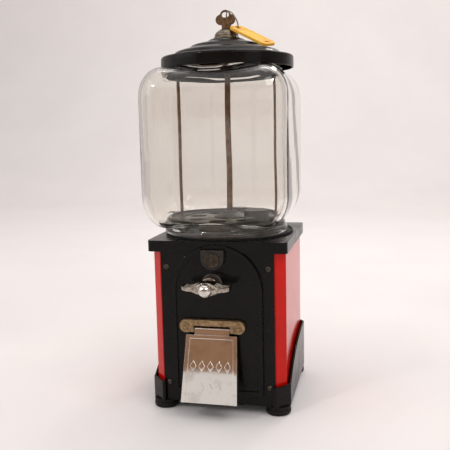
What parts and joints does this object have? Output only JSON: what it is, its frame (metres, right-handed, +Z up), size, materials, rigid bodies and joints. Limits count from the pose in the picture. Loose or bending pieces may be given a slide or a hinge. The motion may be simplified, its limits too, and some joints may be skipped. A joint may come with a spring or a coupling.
{
  "type": "gumball machine",
  "caption": "Counter-top gumball machine with a glass globe, locked lid, coin-turned handle, geared dispensing wheel, delivery chute and hinged pick-up flap.",
  "frame": {"origin": "on the floor plane, under the centre of the square body", "axes": "+Z up along the centre rod, +Y towards the back, -Y out of the flap, +X to the right as seen from the front"},
  "size_m": [0.1501, 0.1796, 0.4024],
  "materials": {
    "black_paint": "gloss",
    "red_paint": "gloss",
    "rubber": "matt",
    "steel": "zinc plated",
    "dark_screws": "blackened",
    "dark_casting": "satin",
    "aged_brass": "aged satin",
    "brass": "dull",
    "galvanised": "galvanised",
    "glass": "clear",
    "bristle": "bristle",
    "aged_rod": "aged",
    "chrome": "polished",
    "bright_flap": "polished, pressed",
    "cast_aluminium": "cast",
    "nickel": "dull nickel",
    "dark_key": "aged",
    "yellow_plastic": "gloss",
    "yellow_card": "matt"
  },
  "bodies": {
    "machine": {"base_pan": "black_paint", "feet": "rubber", "foot_screws": "steel", "foot_nuts": "steel", "body_shell": "red_paint", "front_panel": "black_paint", "panel_screws": "dark_screws", "arch_plate": "black_paint", "coin_entry": "dark_casting", "coin_emblem": "aged_brass", "handle_bushing": "dark_casting", "hinge_bracket": "brass", "bracket_screws": "brass", "m3_nuts": "steel", "hinge_pin": "steel", "candy_cup": "black_paint", "cup_rivets": "steel", "delivery_chute": "galvanised", "exit_tube": "galvanised", "mechanism_frame": "galvanised", "frame_posts": "steel", "gear_carrier": "galvanised", "carrier_rivets": "steel", "pawl_pin": "steel", "pawl_spring": "steel", "top_plate": "black_paint", "globe_gasket": "rubber", "globe": "glass", "hopper_ring": "dark_casting", "brush_housing": "dark_casting", "brush": "bristle", "thrust_washer": "brass", "center_rod": "aged_rod", "center_rod_nuts": "steel", "side_rods": "aged_rod", "side_rod_nuts": "steel", "upper_plate": "black_paint"},
    "handle": {"handle": "chrome", "handle_knob": "chrome", "handle_shaft": "steel", "coin_wheel": "brass", "ratchet_wheel": "steel", "drive_pinion": "steel"},
    "idler": {"jackshaft": "steel", "idler_gear": "steel", "crown_pinion": "steel"},
    "wheel": {"candy_wheel": "cast_aluminium", "drive_sleeve": "brass", "crown_gear": "steel", "hub_cap": "dark_casting"},
    "pawl": {"pawl": "steel"},
    "door": {"door": "bright_flap"},
    "lid": {"lid": "black_paint", "lock_body": "nickel", "lock_nut": "steel"},
    "key": {"lock_plug": "aged_brass", "key": "dark_key"},
    "tag": {"split_ring": "nickel", "key_tag": "yellow_plastic", "tag_label": "yellow_card"}
  },
  "joints": [
    {"name": "handle_spin", "type": "hinge", "parent": "machine", "child": "handle", "pos_m": [-0.0042, 0, 0.132], "axis": [0, 1, 0], "continuous": true},
    {"name": "idler_spin", "type": "hinge", "parent": "machine", "child": "idler", "pos_m": [0, 0, 0.1495], "axis": [0, 1, 0], "continuous": true},
    {"name": "wheel_spin", "type": "hinge", "parent": "machine", "child": "wheel", "pos_m": [0, 0, 0], "axis": [0, 0, 1], "continuous": true},
    {"name": "pawl_swing", "type": "hinge", "parent": "machine", "child": "pawl", "pos_m": [-0.0242, -0.062, 0.117], "axis": [0, -1, 0], "range_deg": [0, 8], "stiffness_Nm_per_rad": 0.02, "springref_deg": -20.05},
    {"name": "door_swing", "type": "hinge", "parent": "machine", "child": "door", "pos_m": [-0.0042, -0.0731, 0.0864], "axis": [-1, 0, 0], "range_deg": [0, 75]},
    {"name": "lid_lift", "type": "slide", "parent": "machine", "child": "lid", "axis": [0, 0, 1], "range_m": [0, 0.06]},
    {"name": "key_turn", "type": "hinge", "parent": "lid", "child": "key", "pos_m": [0, 0, 0.38], "axis": [0, 0, 1], "range_deg": [0, 90]},
    {"name": "tag_swing", "type": "hinge", "parent": "key", "child": "tag", "pos_m": [0.0002, 0, 0.3976], "axis": [0.1694, -0.7982, 0.5781], "range_deg": [0, 50]}
  ],
  "couplings": [
    {"joint": "idler_spin", "follows": "handle_spin", "ratio": -0.5},
    {"joint": "wheel_spin", "follows": "handle_spin", "ratio": -0.125}
  ]
}
